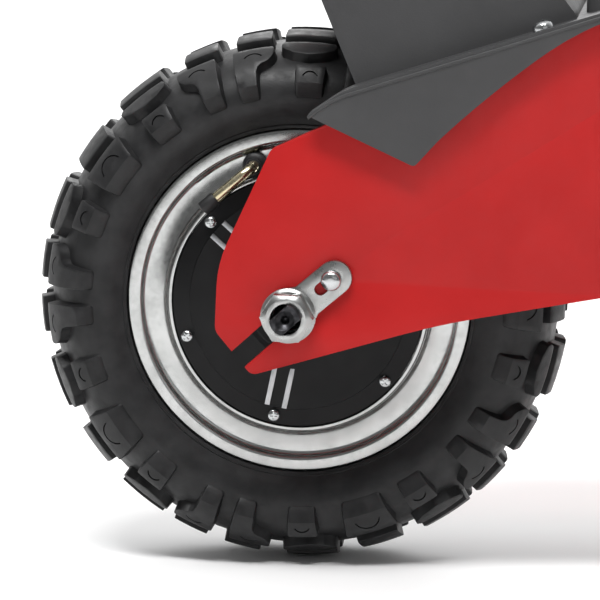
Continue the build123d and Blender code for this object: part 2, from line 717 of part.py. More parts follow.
os.makedirs("parts", exist_ok=True)
rear_wheel()
axle_stack()
chassis()
front_wheel()
fork()
folding_joint()
cockpit()
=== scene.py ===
import json
import math

import bmesh
import bpy
from mathutils import Matrix, Vector


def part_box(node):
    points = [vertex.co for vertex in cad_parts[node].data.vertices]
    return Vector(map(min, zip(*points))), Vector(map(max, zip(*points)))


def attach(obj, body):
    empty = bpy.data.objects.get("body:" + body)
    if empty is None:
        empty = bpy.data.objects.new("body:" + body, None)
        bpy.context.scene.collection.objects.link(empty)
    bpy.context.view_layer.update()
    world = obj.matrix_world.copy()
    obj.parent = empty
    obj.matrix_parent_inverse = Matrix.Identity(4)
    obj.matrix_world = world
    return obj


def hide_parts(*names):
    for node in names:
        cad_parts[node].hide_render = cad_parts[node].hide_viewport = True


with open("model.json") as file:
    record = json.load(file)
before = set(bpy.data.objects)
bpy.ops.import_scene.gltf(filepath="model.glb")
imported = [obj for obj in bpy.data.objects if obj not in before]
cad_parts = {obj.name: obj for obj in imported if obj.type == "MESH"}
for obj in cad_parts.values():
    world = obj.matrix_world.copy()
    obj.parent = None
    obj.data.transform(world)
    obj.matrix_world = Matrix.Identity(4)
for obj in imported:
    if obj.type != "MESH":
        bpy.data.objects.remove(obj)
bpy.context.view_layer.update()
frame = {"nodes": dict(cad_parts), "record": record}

# Electric kick scooter. Metres, +X forward, +Y to the rider's left, +Z up.
# Sizes inside the modelling functions are millimetres.

MM = 0.001
NODES = frame["nodes"]
RECORD = frame["record"]
BODIES = RECORD["behaviour"]["bodies"]
SLOT = {part["node"]: part["material_slot"] for part in RECORD["subparts"]}
BODY = {node: body for body, members in BODIES.items() for node in members}


def middle(node):
    low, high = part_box(node)
    return (low + high) / 2


# Where the wheels and the steering stand, and the turn that lays a flat piece on the right side.
REAR = middle("rear_tyre")
FRONT = middle("front_tyre")
HEAD_TILT = math.radians(15)
AT_REAR = Matrix.Translation(REAR)
AT_FRONT = Matrix.Translation(FRONT) @ Matrix.Rotation(-HEAD_TILT, 4, "Y")
FACE_RIGHT = Matrix.Rotation(math.pi / 2, 4, "X")

# Distances out from the wheel's middle plane.
DRUM_HALF = 28.0
HUB_FACE = 36.0
PLATE_FACE = 80.0
SKIRT_FACE = 86.9

# Wheel radii, and angles up from level, seen from the right.
RIM_R = 91.0
BEAD_R = 82.5
VALVE_R = 75.0
VALVE_TURN = 108.0
COVER_TURN = 18.0
ARM_TURN = 40.0

WASHER = 3.0
SEAM = 0.03 * MM


# ------------------------------------------------------------ camera, light, floor
def camera():
    """Long lens beside the rear wheel, from a little ahead of it and a little above."""
    distance = 2.30
    aim = REAR + Vector((-0.0029, 0, -0.0046))
    place = REAR + Vector((0.107, -1, 0.153)) * distance
    data = bpy.data.cameras.new("camera")
    data.lens = 264
    data.sensor_width = 36
    data.clip_end = 50
    view = bpy.data.objects.new("camera", data)
    bpy.context.scene.collection.objects.link(view)
    view.location = place
    view.rotation_euler = (aim - place).to_track_quat("-Z", "Y").to_euler()
    bpy.context.scene.camera = view


def area_light(name, place, aim, size, power):
    data = bpy.data.lights.new(name, "AREA")
    data.shape = "RECTANGLE"
    data.size, data.size_y = size
    data.energy = power
    lamp = bpy.data.objects.new(name, data)
    bpy.context.scene.collection.objects.link(lamp)
    lamp.location = place
    lamp.rotation_euler = (Vector(aim) - Vector(place)).to_track_quat("-Z", "Y").to_euler()


def studio():
    """Pale floor, three soft lights and a white surround, brighter behind and above."""
    bpy.context.scene.view_settings.view_transform = "Standard"
    world = bpy.data.worlds.new("studio")
    bpy.context.scene.world = world
    world.use_nodes = True
    background = world.node_tree.nodes["Background"]
    background.inputs["Color"].default_value = (1, 1, 1, 1)
    way = add(world, "ShaderNodeTexCoord").outputs["Generated"]
    behind_and_above = (0, 1, 0.6)
    lean = add(world, "ShaderNodeVectorMath", {0: way, 1: behind_and_above}, operation="DOT_PRODUCT")
    glow = between(world, lean.outputs["Value"], 0.18, 1.1, 0.0, 0.75)
    world.node_tree.links.new(glow, background.inputs["Strength"])
    area_light("top_light", (-0.5, -1.15, 2.6), (-0.35, 0, 0.1), (1.8, 0.5), 72)
    area_light("back_light", (0.2, 3.2, 2.4), (0, 1.2, 0), (3.4, 1.4), 80)
    area_light("low_light", (0.5, -1.9, 0.75), (0.1, 0, 0), (1.6, 0.8), 1.5)
    clear_selection()
    bpy.ops.mesh.primitive_plane_add(size=14, location=(0, 0, -0.2 * MM))
    floor = bpy.context.object
    floor.name = "floor"
    dress(floor, floor_paint())


# ------------------------------------------------------------ modelling helpers
def clear_selection():
    if bpy.context.mode != "OBJECT":
        bpy.ops.object.mode_set(mode="OBJECT")
    bpy.ops.object.select_all(action="DESELECT")


def take(piece):
    clear_selection()
    piece.select_set(True)
    bpy.context.view_layer.objects.active = piece
    return piece


def edit(piece):
    take(piece)
    bpy.ops.object.mode_set(mode="EDIT")


def done():
    bpy.ops.object.mode_set(mode="OBJECT")


def choose(piece, kind, test):
    """In edit mode, select only the faces, edges or verts whose middle passes the test."""
    mesh = bmesh.from_edit_mesh(piece.data)
    for group in (mesh.verts, mesh.edges, mesh.faces):
        for item in group:
            item.select = False
    for item in getattr(mesh, kind):
        points = [item.co] if kind == "verts" else [v.co for v in item.verts]
        centre = sum(points, Vector()) / len(points)
        normal = item.normal if kind != "edges" else Vector()
        if test(centre, normal):
            item.select_set(True)
    mesh.select_flush_mode()
    bmesh.update_edit_mesh(piece.data)


def place_verts(piece, rule):
    """Move every vertex of a piece by one rule."""
    for vertex in piece.data.vertices:
        vertex.co = rule(vertex.co.copy())
    piece.data.update()


def mend(piece, distance=1e-6):
    edit(piece)
    bpy.ops.mesh.select_all(action="SELECT")
    bpy.ops.mesh.remove_doubles(threshold=distance)
    bpy.ops.mesh.normals_make_consistent(inside=False)
    done()


def smooth(piece, degrees):
    take(piece)
    bpy.ops.object.shade_smooth_by_angle(angle=math.radians(degrees))


def modify(piece, kind, **settings):
    take(piece)
    modifier = piece.modifiers.new(kind.lower(), kind)
    for key, value in settings.items():
        setattr(modifier, key, value)
    bpy.ops.object.modifier_apply(modifier=modifier.name)


def carve(piece, cutter, operation="DIFFERENCE"):
    """Boolean that uses up the cutter; both are enlarged for it, where it is sure."""
    larger = Matrix.Scale(100, 4)
    piece.data.transform(larger)
    cutter.data.transform(larger)
    modify(piece, "BOOLEAN", object=cutter, operation=operation, solver="MANIFOLD")
    bpy.data.objects.remove(cutter)
    piece.data.transform(larger.inverted())
    return piece


def join(name, pieces):
    clear_selection()
    for piece in pieces:
        piece.select_set(True)
    bpy.context.view_layer.objects.active = pieces[0]
    if len(pieces) > 1:
        bpy.ops.object.join()
    pieces[0].name = name
    return pieces[0]


def copy_of(piece, name):
    twin = piece.copy()
    twin.data = piece.data.copy()
    twin.name = name
    bpy.context.scene.collection.objects.link(twin)
    return twin


def moved(piece, matrix):
    piece.data.transform(matrix)
    return piece


def mirrored(piece, name):
    """Left-hand twin of a right-hand piece."""
    twin = moved(copy_of(piece, name), Matrix.Scale(-1, 4, (0, 1, 0)))
    twin.data.flip_normals()
    return twin


def on_both_sides(piece, y):
    """Turn a piece lying on z = 0 to face -Y at a distance out, and add its mirrored twin."""
    right = moved(piece, Matrix.Translation((0, -y * MM, 0)) @ FACE_RIGHT)
    return join(piece.name, [right, mirrored(right, piece.name)])


def dress(piece, material):
    piece.data.materials.clear()
    piece.data.materials.append(material)
    return piece


def fit(piece, body, slot, *nodes):
    """Say what a piece rides on and which nodes it stands for; the slot argument is not used."""
    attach(piece, body)
    if nodes:
        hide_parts(*nodes)
    return piece


def set_in(piece, place, body, slot, *nodes):
    """Dress a piece in its slot's finish, put it in its place and fit it."""
    moved(dress(piece, FINISH[slot]), place)
    return fit(piece, body, slot, *nodes)


def turned(name, profile, centre, steps):
    """Turned piece about the Y axis through a centre, from (y, radius) points in mm."""
    clear_selection()
    bpy.ops.mesh.primitive_plane_add(size=MM)
    piece = bpy.context.object
    piece.name = name
    bpy.ops.object.mode_set(mode="EDIT")
    bpy.ops.mesh.select_all(action="SELECT")
    bpy.ops.mesh.merge(type="CENTER")
    here = Vector((0, profile[0][0] * MM, profile[0][1] * MM))
    bpy.ops.transform.translate(value=here)
    for y, radius in profile[1:]:
        there = Vector((0, y * MM, radius * MM))
        bpy.ops.mesh.extrude_vertices_move(TRANSFORM_OT_translate={"value": there - here})
        here = there
    bpy.ops.mesh.select_all(action="SELECT")
    bpy.ops.mesh.spin(steps=steps, angle=math.tau, center=(0, 0, 0), axis=(0, 1, 0))
    bpy.ops.mesh.select_all(action="SELECT")
    bpy.ops.mesh.remove_doubles(threshold=1e-6)
    bpy.ops.mesh.normals_make_consistent(inside=False)
    done()
    return moved(piece, Matrix.Translation(centre))


def plate(name, outline, depth, chamfer=0.0):
    """Flat piece from (x, y) points in mm, from z = 0 up to its depth; the top edge can be broken."""
    clear_selection()
    bpy.ops.mesh.primitive_circle_add(vertices=len(outline), radius=MM, fill_type="NGON")
    piece = bpy.context.object
    piece.name = name
    for vertex, (x, y) in zip(piece.data.vertices, outline):
        vertex.co = (x * MM, y * MM, 0)
    bpy.ops.object.mode_set(mode="EDIT")
    bpy.ops.mesh.select_all(action="SELECT")
    bpy.ops.mesh.extrude_region_move(TRANSFORM_OT_translate={"value": (0, 0, depth * MM)})
    bpy.ops.mesh.select_all(action="SELECT")
    bpy.ops.mesh.normals_make_consistent(inside=False)
    if chamfer:
        choose(piece, "edges", lambda c, n: c.z > (depth - 0.01) * MM)
        bpy.ops.mesh.bevel(offset=chamfer * MM, segments=2)
    done()
    return piece


def polar(radius, degrees):
    turn = math.radians(degrees)
    return radius * math.cos(turn), radius * math.sin(turn)


def arc(radius, start, end, steps, centre=(0, 0)):
    """Points (x, y) along an arc, both ends included; angles in degrees."""
    points = []
    for i in range(steps + 1):
        x, y = polar(radius, start + (end - start) * i / steps)
        points.append((centre[0] + x, centre[1] + y))
    return points


def mirrored_loop(half):
    """Closed (y, r) loop, the same on both sides, from the points of its left half."""
    return half + [(-y, r) for y, r in reversed(half[1:-1])] + [half[0]]


def column(name, radius, depth, vertices=48):
    """Round cutter about the Z axis, centred at the origin."""
    clear_selection()
    bpy.ops.mesh.primitive_cylinder_add(vertices=vertices, radius=radius * MM, depth=depth * MM)
    bpy.context.object.name = name
    return bpy.context.object


def refined(node, bevel):
    """Copy of a CAD node with its edges broken, standing for that node."""
    piece = copy_of(NODES[node], node + "_finished")
    piece.parent = None
    for key in list(piece.keys()):
        del piece[key]
    edit(piece)
    bpy.ops.mesh.select_all(action="SELECT")
    bpy.ops.mesh.remove_doubles(threshold=2e-6)
    bpy.ops.mesh.dissolve_limited(angle_limit=math.radians(0.6))
    done()
    settings = {"width": bevel * MM, "segments": 2, "limit_method": "ANGLE"}
    modify(piece, "BEVEL", angle_limit=math.radians(30), **settings)
    smooth(piece, 28)
    return fit(piece, BODY[node], SLOT[node], node)


# ------------------------------------------------------------ material helpers
def rgb(code):
    """sRGB hex to a linear colour."""
    values = [int(code[i:i + 2], 16) / 255 for i in (1, 3, 5)]
    return tuple(v / 12.92 if v <= 0.04045 else ((v + 0.055) / 1.055) ** 2.4 for v in values) + (1,)


def add(material, kind, inputs=None, **settings):
    """Add a node, set its options, and set or link its inputs."""
    item = material.node_tree.nodes.new(kind)
    for key, value in settings.items():
        setattr(item, key, value)
    for key, value in (inputs or {}).items():
        if isinstance(value, bpy.types.NodeSocket):
            material.node_tree.links.new(value, item.inputs[key])
        else:
            item.inputs[key].default_value = value
    return item


def grain(material, size_mm, detail=3.0, stretch=(1, 1, 1)):
    """Noise whose features are about a real size, on the piece's own coordinates."""
    where = add(material, "ShaderNodeTexCoord").outputs["Object"]
    scaled = add(material, "ShaderNodeMapping", {"Vector": where, "Scale": stretch})
    settings = {"Vector": scaled.outputs["Vector"], "Scale": 1000 / size_mm, "Detail": detail}
    return add(material, "ShaderNodeTexNoise", settings).outputs["Fac"]


def between(material, factor, low, high, start=0.35, end=0.65):
    """Read a pattern as a number between two values."""
    ends = {"Value": factor, "From Min": start, "From Max": end, "To Min": low, "To Max": high}
    return add(material, "ShaderNodeMapRange", ends).outputs["Result"]


def tint(material, factor, first, second, start=0.35, end=0.65):
    """Read a pattern as a colour between two hex colours."""
    ramp = add(material, "ShaderNodeValToRGB", {"Fac": factor})
    ramp.color_ramp.elements[0].position = start
    ramp.color_ramp.elements[0].color = rgb(first)
    ramp.color_ramp.elements[1].position = end
    ramp.color_ramp.elements[1].color = rgb(second)
    return ramp.outputs["Color"]


def bumps(material, height, depth_mm, strength=1.0, under=None):
    inputs = {"Height": height, "Distance": depth_mm * MM, "Strength": strength}
    if under:
        inputs["Normal"] = under
    return add(material, "ShaderNodeBump", inputs).outputs["Normal"]


def surface(name, colour, roughness, normal=None, **constants):
    """Material with one Principled shader; colour and roughness are read from its patterns."""
    material = bpy.data.materials.new(name)
    material.use_nodes = True
    shader = material.node_tree.nodes["Principled BSDF"]
    for key, value in constants.items():
        shader.inputs[key.replace("_", " ")].default_value = value
    links = material.node_tree.links
    links.new(colour(material), shader.inputs["Base Color"])
    links.new(roughness(material), shader.inputs["Roughness"])
    if normal:
        links.new(normal(material), shader.inputs["Normal"])
    return material


# ------------------------------------------------------------ materials
def floor_paint():
    # Matt white painted board: gives an even white ground with a soft shadow.
    return surface(
        "matt_white_board",
        lambda m: tint(m, grain(m, 400), "#F6F6F6", "#FAFAFA"),
        lambda m: between(m, grain(m, 30), 0.85, 0.95),
        Specular_IOR_Level=0.1,
    )


def tyre_rubber():
    # Moulded natural rubber: near black, dusty grey bloom, fine mould texture.
    return surface(
        "moulded_tyre_rubber",
        lambda m: tint(m, grain(m, 9, 5), "#181819", "#252526"),
        lambda m: between(m, grain(m, 5, 4), 0.4, 0.54),
        lambda m: bumps(m, grain(m, 0.9, 4), 0.12, 0.5, bumps(m, grain(m, 6, 3), 0.25, 0.3)),
        Specular_IOR_Level=0.34,
    )


def polished_aluminium():
    # Machine-polished cast aluminium: bright, with faint turning lines and a few dull patches.
    return surface(
        "polished_cast_aluminium",
        lambda m: tint(m, grain(m, 14, 4), "#AEAFAE", "#BDBEBD"),
        lambda m: between(m, grain(m, 3, 4), 0.16, 0.27),
        lambda m: bumps(m, grain(m, 1.2, 3), 0.02, 0.35),
        Metallic=1.0,
    )


def satin_black_paint():
    # Sprayed satin black enamel over a turned cover: dark, slightly glossy, faint orange peel.
    return surface(
        "satin_black_enamel",
        lambda m: tint(m, grain(m, 20, 3), "#0C0C0D", "#131314"),
        lambda m: between(m, grain(m, 8, 3), 0.3, 0.4),
        lambda m: bumps(m, grain(m, 1.6, 2), 0.03, 0.3),
        Specular_IOR_Level=0.18,
    )


def red_powder_coat():
    # Polyester powder coat in signal red: even colour, orange-peel skin, satin gloss.
    return surface(
        "red_powder_coat",
        lambda m: tint(m, grain(m, 35, 4), "#AC1414", "#B31919"),
        lambda m: between(m, grain(m, 6, 3), 0.4, 0.5),
        lambda m: bumps(m, grain(m, 1.4, 2), 0.05, 0.4),
        IOR=1.5,
        Specular_IOR_Level=0.25,
    )


def black_powder_coat():
    # Polyester powder coat in black: fine orange peel, satin gloss.
    return surface(
        "black_powder_coat",
        lambda m: tint(m, grain(m, 30, 4), "#161617", "#202021"),
        lambda m: between(m, grain(m, 6, 3), 0.38, 0.5),
        lambda m: bumps(m, grain(m, 1.3, 2), 0.05, 0.5),
        IOR=1.5,
    )


def zinc_plate():
    # Bright zinc on steel: pale metal with soft cloudy patches and fine brush marks.
    return surface(
        "bright_zinc_plate",
        lambda m: tint(m, grain(m, 9, 3), "#A5A6A5", "#B0B1B0"),
        lambda m: between(m, grain(m, 6, 3), 0.26, 0.32),
        lambda m: bumps(m, grain(m, 0.6, 2), 0.01, 0.3),
        Metallic=1.0,
    )


def chrome_plate():
    # Decorative chrome: mirror bright with a trace of haze.
    return surface(
        "chrome_plate",
        lambda m: tint(m, grain(m, 6, 2), "#B9BBBC", "#C6C8C9"),
        lambda m: between(m, grain(m, 3, 3), 0.18, 0.26),
        Metallic=1.0,
    )


def black_oxide():
    # Oiled black oxide on steel: dark grey metal, uneven sheen.
    return surface(
        "black_oxide_steel",
        lambda m: tint(m, grain(m, 3, 4), "#29292B", "#444447"),
        lambda m: between(m, grain(m, 2, 4), 0.32, 0.5),
        lambda m: bumps(m, grain(m, 0.5, 2), 0.02, 0.5),
        Metallic=0.9,
    )


def brass():
    # Bare drawn brass, a little tarnished.
    return surface(
        "drawn_brass",
        lambda m: tint(m, grain(m, 4, 3), "#CFC3A0", "#DCD2B4"),
        lambda m: between(m, grain(m, 4, 3), 0.22, 0.3),
        Metallic=1.0,
    )


def moulded_black():
    # Black ABS with a spark-eroded grain.
    return surface(
        "grained_black_abs",
        lambda m: tint(m, grain(m, 18, 3), "#19191A", "#232324"),
        lambda m: between(m, grain(m, 3, 3), 0.45, 0.58),
        lambda m: bumps(m, grain(m, 0.7, 3), 0.06, 0.6),
        IOR=1.49,
    )


def mudguard_plastic():
    # Moulded polypropylene: dark grey-black, wide soft sheen, fine leather-like grain.
    return surface(
        "grained_polypropylene",
        lambda m: tint(m, grain(m, 60, 3), "#363637", "#3B3B3C"),
        lambda m: between(m, grain(m, 7, 4), 0.48, 0.56),
        lambda m: bumps(m, grain(m, 0.9, 4), 0.1, 0.6),
        IOR=1.49,
    )


def gloss_black():
    # Gloss black ABS case.
    return surface(
        "gloss_black_abs",
        lambda m: tint(m, grain(m, 18, 3), "#101011", "#161617"),
        lambda m: between(m, grain(m, 10, 3), 0.1, 0.2),
        IOR=1.49,
    )


def grip_rubber():
    # Soft thermoplastic rubber with a matt, slightly dusty skin.
    return surface(
        "soft_grip_rubber",
        lambda m: tint(m, grain(m, 6, 4), "#1B1B1C", "#272728"),
        lambda m: between(m, grain(m, 3, 3), 0.62, 0.78),
        lambda m: bumps(m, grain(m, 0.6, 3), 0.08, 0.6),
        IOR=1.5,
    )


def grit_tape():
    # Mineral grit bonded to black tape: rough, sparkling, about 60 grit.
    def normal(m):
        where = add(m, "ShaderNodeTexCoord").outputs["Object"]
        cells = add(m, "ShaderNodeTexVoronoi", {"Vector": where, "Scale": 1000 / 0.9})
        return bumps(m, cells.outputs["Distance"], 0.35, 0.9)

    return surface(
        "grit_tape",
        lambda m: tint(m, grain(m, 1.1, 4), "#151516", "#3A3A3B", 0.3, 0.75),
        lambda m: between(m, grain(m, 2, 3), 0.7, 0.95),
        normal,
        IOR=1.5,
    )


def plywood():
    # Birch plywood edge and face under clear lacquer: plies show as thin bands.
    def colour(m):
        where = add(m, "ShaderNodeTexCoord").outputs["Object"]
        waves = {"Vector": where, "Scale": 1000 / 3 / 6.28, "Distortion": 0.8, "Detail": 2.0}
        bands = add(m, "ShaderNodeTexWave", waves, bands_direction="Z")
        return tint(m, bands.outputs["Fac"], "#8A6A42", "#C39C69", 0.2, 0.8)

    return surface(
        "lacquered_birch_ply",
        colour,
        lambda m: between(m, grain(m, 5, 3, (0.1, 1, 1)), 0.3, 0.48),
        lambda m: bumps(m, grain(m, 1.2, 3, (0.08, 1, 1)), 0.05, 0.4),
        IOR=1.5,
    )


def machined_aluminium():
    # Machined and bead-blasted aluminium: soft silver.
    return surface(
        "blasted_aluminium",
        lambda m: tint(m, grain(m, 8, 4), "#A9AAAC", "#BDBEC0"),
        lambda m: between(m, grain(m, 2, 3), 0.34, 0.46),
        lambda m: bumps(m, grain(m, 0.4, 3), 0.03, 0.5),
        Metallic=1.0,
    )


def ground_steel():
    # Ground stainless steel with fine cross-hatched grinding marks.
    return surface(
        "ground_stainless",
        lambda m: tint(m, grain(m, 5, 4), "#9C9D9F", "#B4B5B7"),
        lambda m: between(m, grain(m, 1.2, 4, (1, 1, 0.2)), 0.24, 0.4),
        lambda m: bumps(m, grain(m, 0.7, 3, (1, 1, 0.15)), 0.02, 0.5),
        Metallic=1.0,
    )


def winding_steel():
    # Varnished lamination stack: brownish grey steel in 0.5 mm sheets.
    def normal(m):
        where = add(m, "ShaderNodeTexCoord").outputs["Object"]
        sheets = {"Vector": where, "Scale": 1000 / 1.5 / 6.28}
        bands = add(m, "ShaderNodeTexWave", sheets, bands_direction="Y")
        return bumps(m, bands.outputs["Fac"], 0.1, 0.6)

    return surface(
        "varnished_laminations",
        lambda m: tint(m, grain(m, 6, 4), "#4A3A2C", "#6B5A49"),
        lambda m: between(m, grain(m, 3, 3), 0.3, 0.5),
        normal,
        Metallic=0.7,
    )


def red_lens():
    # Moulded red acrylic lens with a fine prism pattern.
    def normal(m):
        where = add(m, "ShaderNodeTexCoord").outputs["Object"]
        prisms = add(m, "ShaderNodeTexVoronoi", {"Vector": where, "Scale": 1000 / 3})
        return bumps(m, prisms.outputs["Distance"], 0.5, 0.6)

    return surface(
        "red_acrylic_lens",
        lambda m: tint(m, grain(m, 12, 2), "#8E0F12", "#A81518"),
        lambda m: between(m, grain(m, 8, 2), 0.08, 0.16),
        normal,
        IOR=1.49,
        Coat_Weight=0.6,
    )


def red_button():
    # Gloss red ABS.
    return surface(
        "gloss_red_abs",
        lambda m: tint(m, grain(m, 6, 2), "#A31616", "#B31C1C"),
        lambda m: between(m, grain(m, 4, 2), 0.2, 0.3),
        IOR=1.49,
    )


def battery_shrink():
    # Heat-shrunk PVC sleeve over the cells: dark blue-grey, wrinkled.
    return surface(
        "pvc_shrink_sleeve",
        lambda m: tint(m, grain(m, 30, 3), "#232A35", "#2E3642"),
        lambda m: between(m, grain(m, 8, 3), 0.25, 0.4),
        lambda m: bumps(m, grain(m, 14, 4), 0.6, 0.4),
        IOR=1.53,
    )


def clear_lens():
    # Moulded clear polycarbonate over a bright reflector: pale, glossy, ringed.
    return surface(
        "clear_polycarbonate_lens",
        lambda m: tint(m, grain(m, 5, 2), "#C4C9CC", "#DEE2E4"),
        lambda m: between(m, grain(m, 4, 2), 0.05, 0.12),
        Coat_Weight=0.8,
    )


def display_glass():
    # Dark tinted glass over an unlit display: near black, mirror smooth.
    return surface(
        "tinted_display_glass",
        lambda m: tint(m, grain(m, 12, 2), "#0A0C10", "#12151A"),
        lambda m: between(m, grain(m, 10, 2), 0.03, 0.08),
        Coat_Weight=0.5,
    )


FINISH = {
    "tyre_rubber": tyre_rubber(),
    "cast_aluminium": polished_aluminium(),
    "cover_black": satin_black_paint(),
    "zinc_steel": zinc_plate(),
    "chromed_steel": chrome_plate(),
    "black_steel": black_oxide(),
    "magnet": zinc_plate(),
    "lamination": winding_steel(),
    "bearing_steel": ground_steel(),
    "brass": brass(),
    "black_plastic": moulded_black(),
    "red_powder": red_powder_coat(),
    "black_powder": black_powder_coat(),
    "deck_wood": plywood(),
    "grip_tape": grit_tape(),
    "pan_plastic": moulded_black(),
    "battery_case": battery_shrink(),
    "bare_aluminium": machined_aluminium(),
    "mudguard_plastic": mudguard_plastic(),
    "lamp_red": red_lens(),
    "lamp_shell": gloss_black(),
    "display_case": gloss_black(),
    "grip_rubber": grip_rubber(),
    "disc_steel": ground_steel(),
    "button_red": red_button(),
}


def dress_cad_nodes():
    """Every CAD node takes its slot's finish."""
    for name, node in NODES.items():
        dress(node, FINISH[SLOT[name]])


# ------------------------------------------------------------ tyres
CROWN_R = 134.6
SECTION_R = 108.0
SECTION_HALF = 41.0
LUG_R = 130.0
LUG_EDGE = 47.0
RAMP_END = 54.0


def section(degrees):
    """Carcass point (y, r) and outward normal at an angle round its elliptical section."""
    turn = math.radians(degrees)
    rise = CROWN_R - SECTION_R
    y, r = SECTION_HALF * math.sin(turn), SECTION_R + rise * math.cos(turn)
    normal = Vector((rise * math.sin(turn), SECTION_HALF * math.cos(turn))).normalized()
    return y, r, normal


def section_lengths():
    """Distance across the tread from its centre line, for every half degree of section."""
    lengths = [0.0]
    for step in range(1, 261):
        before, after = section(step / 2 - 0.5), section(step / 2)
        lengths.append(lengths[-1] + math.hypot(after[0] - before[0], after[1] - before[1]))
    return lengths


ACROSS = section_lengths()


def across(distance):
    """Section angle at a distance across the tread."""
    step = max(i for i, length in enumerate(ACROSS) if length <= max(distance, 0))
    step = min(step, len(ACROSS) - 2)
    part = (distance - ACROSS[step]) / (ACROSS[step + 1] - ACROSS[step])
    return (step + part) / 2


def wrap(co):
    """Lay a block drawn flat (along, across, up) on the right half of the carcass."""
    along, reach, up = co / MM
    if reach > LUG_EDGE and up > 0:
        up *= max(0.03, 1 - (reach - LUG_EDGE) / (RAMP_END - LUG_EDGE))
    y, r, normal = section(across(reach))
    y, r = y + up * normal.x, r + up * normal.y
    x, z = polar(r, math.degrees(along / LUG_R))
    return Vector((x, -y, z)) * MM


def arc_slot(centre, radius, start, end, width=0.8, floor=4.1, depth=6):
    """Curved slit cutter for the top of a tread block, swept between two angles."""
    outer = arc(radius + width / 2, start, end, 8, centre)
    inner = arc(radius - width / 2, end, start, 8, centre)
    return moved(plate("slit", outer + inner, depth), Matrix.Translation((0, 0, floor * MM)))


def lug(name, outline, height, corner=2.3, slot=None):
    """Tread block: rounded outline, flared foot, drafted walls, broken top edge.

    It is drawn flat with its root 2 mm under the skin, cut into strips so that it can bend, and laid
    on the carcass.
    """
    root = -2 * MM
    clear_selection()
    bpy.ops.mesh.primitive_circle_add(vertices=len(outline), radius=MM, fill_type="NGON")
    piece = bpy.context.object
    piece.name = name
    for vertex, (x, y) in zip(piece.data.vertices, outline):
        vertex.co = (x * MM, y * MM, root)
    bpy.ops.object.mode_set(mode="EDIT")
    bpy.ops.mesh.select_all(action="SELECT")
    bpy.ops.mesh.bevel(offset=corner * MM, segments=2, affect="VERTICES")
    bpy.ops.mesh.select_all(action="SELECT")
    bpy.ops.mesh.extrude_region_move(TRANSFORM_OT_translate={"value": (0, 0, 1 * MM)})
    bpy.ops.mesh.select_all(action="SELECT")
    bpy.ops.mesh.normals_make_consistent(inside=False)
    choose(piece, "faces", lambda c, n: n.z > 0.9)
    bpy.ops.mesh.inset(thickness=0.8 * MM, depth=1.7 * MM)
    bpy.ops.mesh.inset(thickness=0.7 * MM, depth=(height - 0.7) * MM)
    bpy.ops.mesh.inset(thickness=0.3 * MM, depth=0.18 * MM)
    done()
    if slot:
        carve(piece, slot)
    edit(piece)
    for reach in (8, 12, 16, 20, 24, 27.5, 31, 34.5, 38, 41, 44, LUG_EDGE, 50.5):
        cut(reach * MM, (0, 1, 0))
    for along in (-10, -5, 0, 5, 10):
        cut(along * MM, (1, 0, 0))
    done()
    place_verts(piece, wrap)
    return piece


def cut(distance, normal):
    """Add a ring of edges where a plane crosses the piece being edited."""
    bpy.ops.mesh.select_all(action="SELECT")
    bpy.ops.mesh.bisect(plane_co=Vector(normal) * distance, plane_no=normal)


def tread_group():
    """Five shoulder lugs and their inner blocks: one repeat of the tread, a fifth of a turn.

    Outlines are (along, across) from each lug's middle and the tyre's centre line.
    """
    foot = RAMP_END + 0.5
    wide = [(-16, 33), (16, 33), (13.4, foot), (-13.4, foot)]
    crescent = [(-13.5, 21), (13.5, 21), (15.8, 24.5), (14.6, 28.8), (8.5, 32.4), (0, 34),
                (-8.5, 32.4), (-14.6, 28.8), (-15.8, 24.5)]
    lower = [(-9.8, 37), (9.8, 37), (9.2, foot), (-9.2, foot)]
    hook = [(-12, 24), (12, 24), (12.2, 38), (11.4, foot), (-2.2, foot), (-3, 38.6), (-9.4, 36.4),
            (-12.8, 31)]
    other = [(-x, y) for x, y in reversed(hook)]
    hook_block = [(-10, 5), (10, 5), (10.6, 21), (-10.6, 21)]
    pieces = []

    def stand(piece, degrees):
        pieces.append(moved(piece, Matrix.Rotation(-math.radians(degrees), 4, "Y")))

    stand(lug("wide_lug", wide, 5.2, slot=arc_slot((0, 46), 7.5, 200, 340)), 0)
    stand(lug("wide_block", [(-12, 11), (12, 11), (12.4, 31), (-12.4, 31)], 5.6), 0.4)
    for degrees in (15.0, 55.6):
        stand(lug("crescent_lug", crescent, 5.4, corner=0.9), degrees + 0.8)
        stand(lug("lower_lug", lower, 5.2, slot=arc_slot((0, 47), 5, 215, 325)), degrees - 0.3)
        stand(lug("long_block", [(-14, 4), (14, 4), (14.4, 19.5), (-14.4, 19.5)], 6.2), degrees + 0.8)
    stand(lug("hook_lug", hook, 5.4, slot=arc_slot((0, 36), 6, 220, 320)), 28.6)
    stand(lug("hook_block", hook_block, 6.2), 28.4)
    stand(lug("hook_lug_b", other, 5.4, slot=arc_slot((0, 36), 6, 220, 320)), 42.2)
    stand(lug("hook_block_b", hook_block, 6.2), 40.6)
    return join("tread_group", pieces)


def carcass():
    """Tyre body: rounded section with two fine ribs low on each sidewall, beads on the rim."""
    half = [section(step)[:2] for step in range(0, 124, 4)]
    half += [(34.6, 93.4), (34.9, 92.9), (34.2, 92.3), (33.3, 91.2), (29.6, RIM_R), (28.1, 89)]
    half += [(DRUM_HALF, BEAD_R), (20, BEAD_R), (20, 84), (26, 92), (36.5, 105), (35.5, 115)]
    half += [(25, 126), (0, 128)]
    return turned("carcass", mirrored_loop(half), (0, 0, 0), steps=180)


